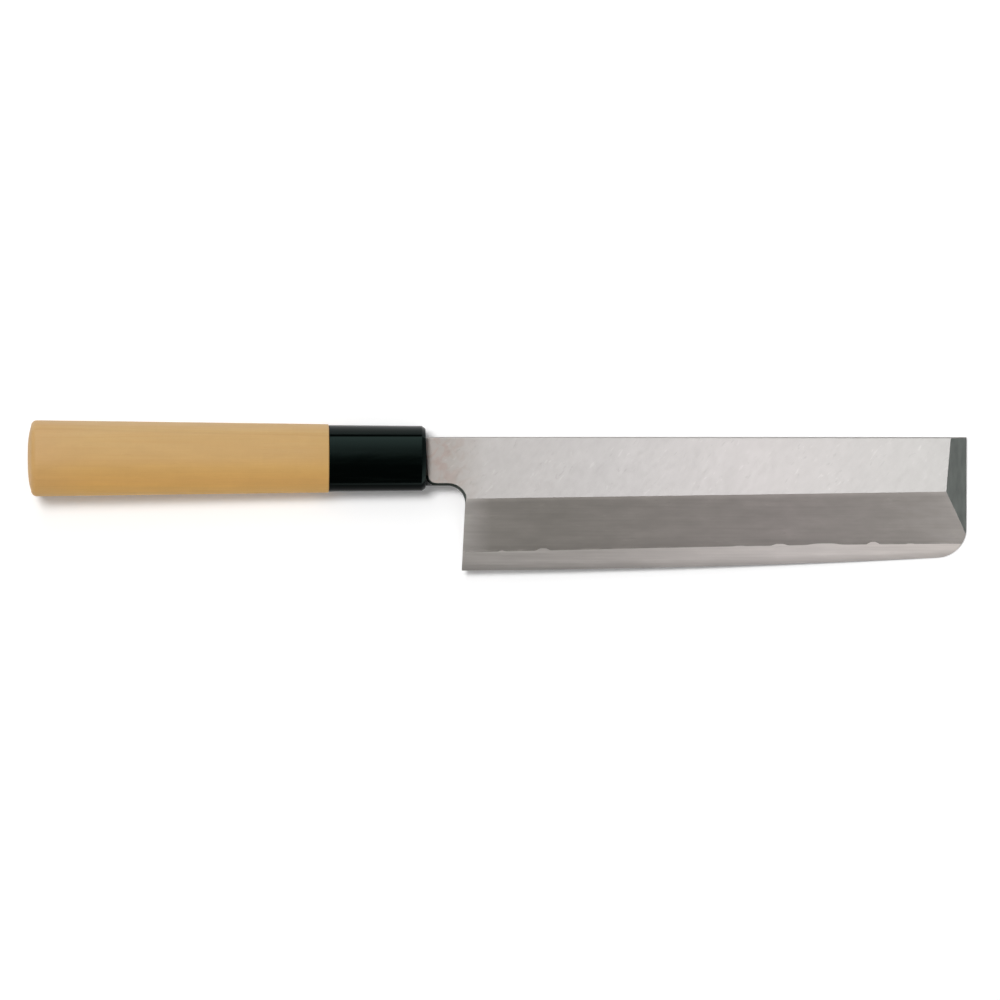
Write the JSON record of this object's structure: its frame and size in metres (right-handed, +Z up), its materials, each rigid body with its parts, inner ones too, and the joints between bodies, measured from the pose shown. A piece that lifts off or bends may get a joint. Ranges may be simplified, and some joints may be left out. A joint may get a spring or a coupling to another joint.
{
  "type": "usuba knife",
  "caption": "Single-bevel vegetable knife: laminated hollow-backed blade with a straight edge and hidden tang, in a D-section wooden handle with a black horn ferrule.",
  "frame": {"origin": "on the table, under the middle of the knife's length and width as it lies on its flat back", "axes": "+X from the butt to the tip, +Y from the cutting edge to the spine, +Z up out of the table, towards the ground face"},
  "size_m": [0.3116, 0.0498, 0.0239],
  "materials": {
    "iron": "soft iron, polished flat above and hazed by a horizontal stone on the bevel",
    "edge_steel": "hard carbon steel, bright along the edge and ground hollow on the back",
    "magnolia": "smooth bare magnolia, fine straight grain along the handle",
    "horn": "polished black buffalo horn with a green cast",
    "resin": "dark resin, hidden in the handle",
    "sealant": "black sealing compound"
  },
  "bodies": {
    "root": {"iron_body": "iron", "edge_steel": "edge_steel", "grip": "magnolia", "ferrule": "horn", "tang_bedding": "resin", "mouth_seal": "sealant"}
  },
  "joints": []
}
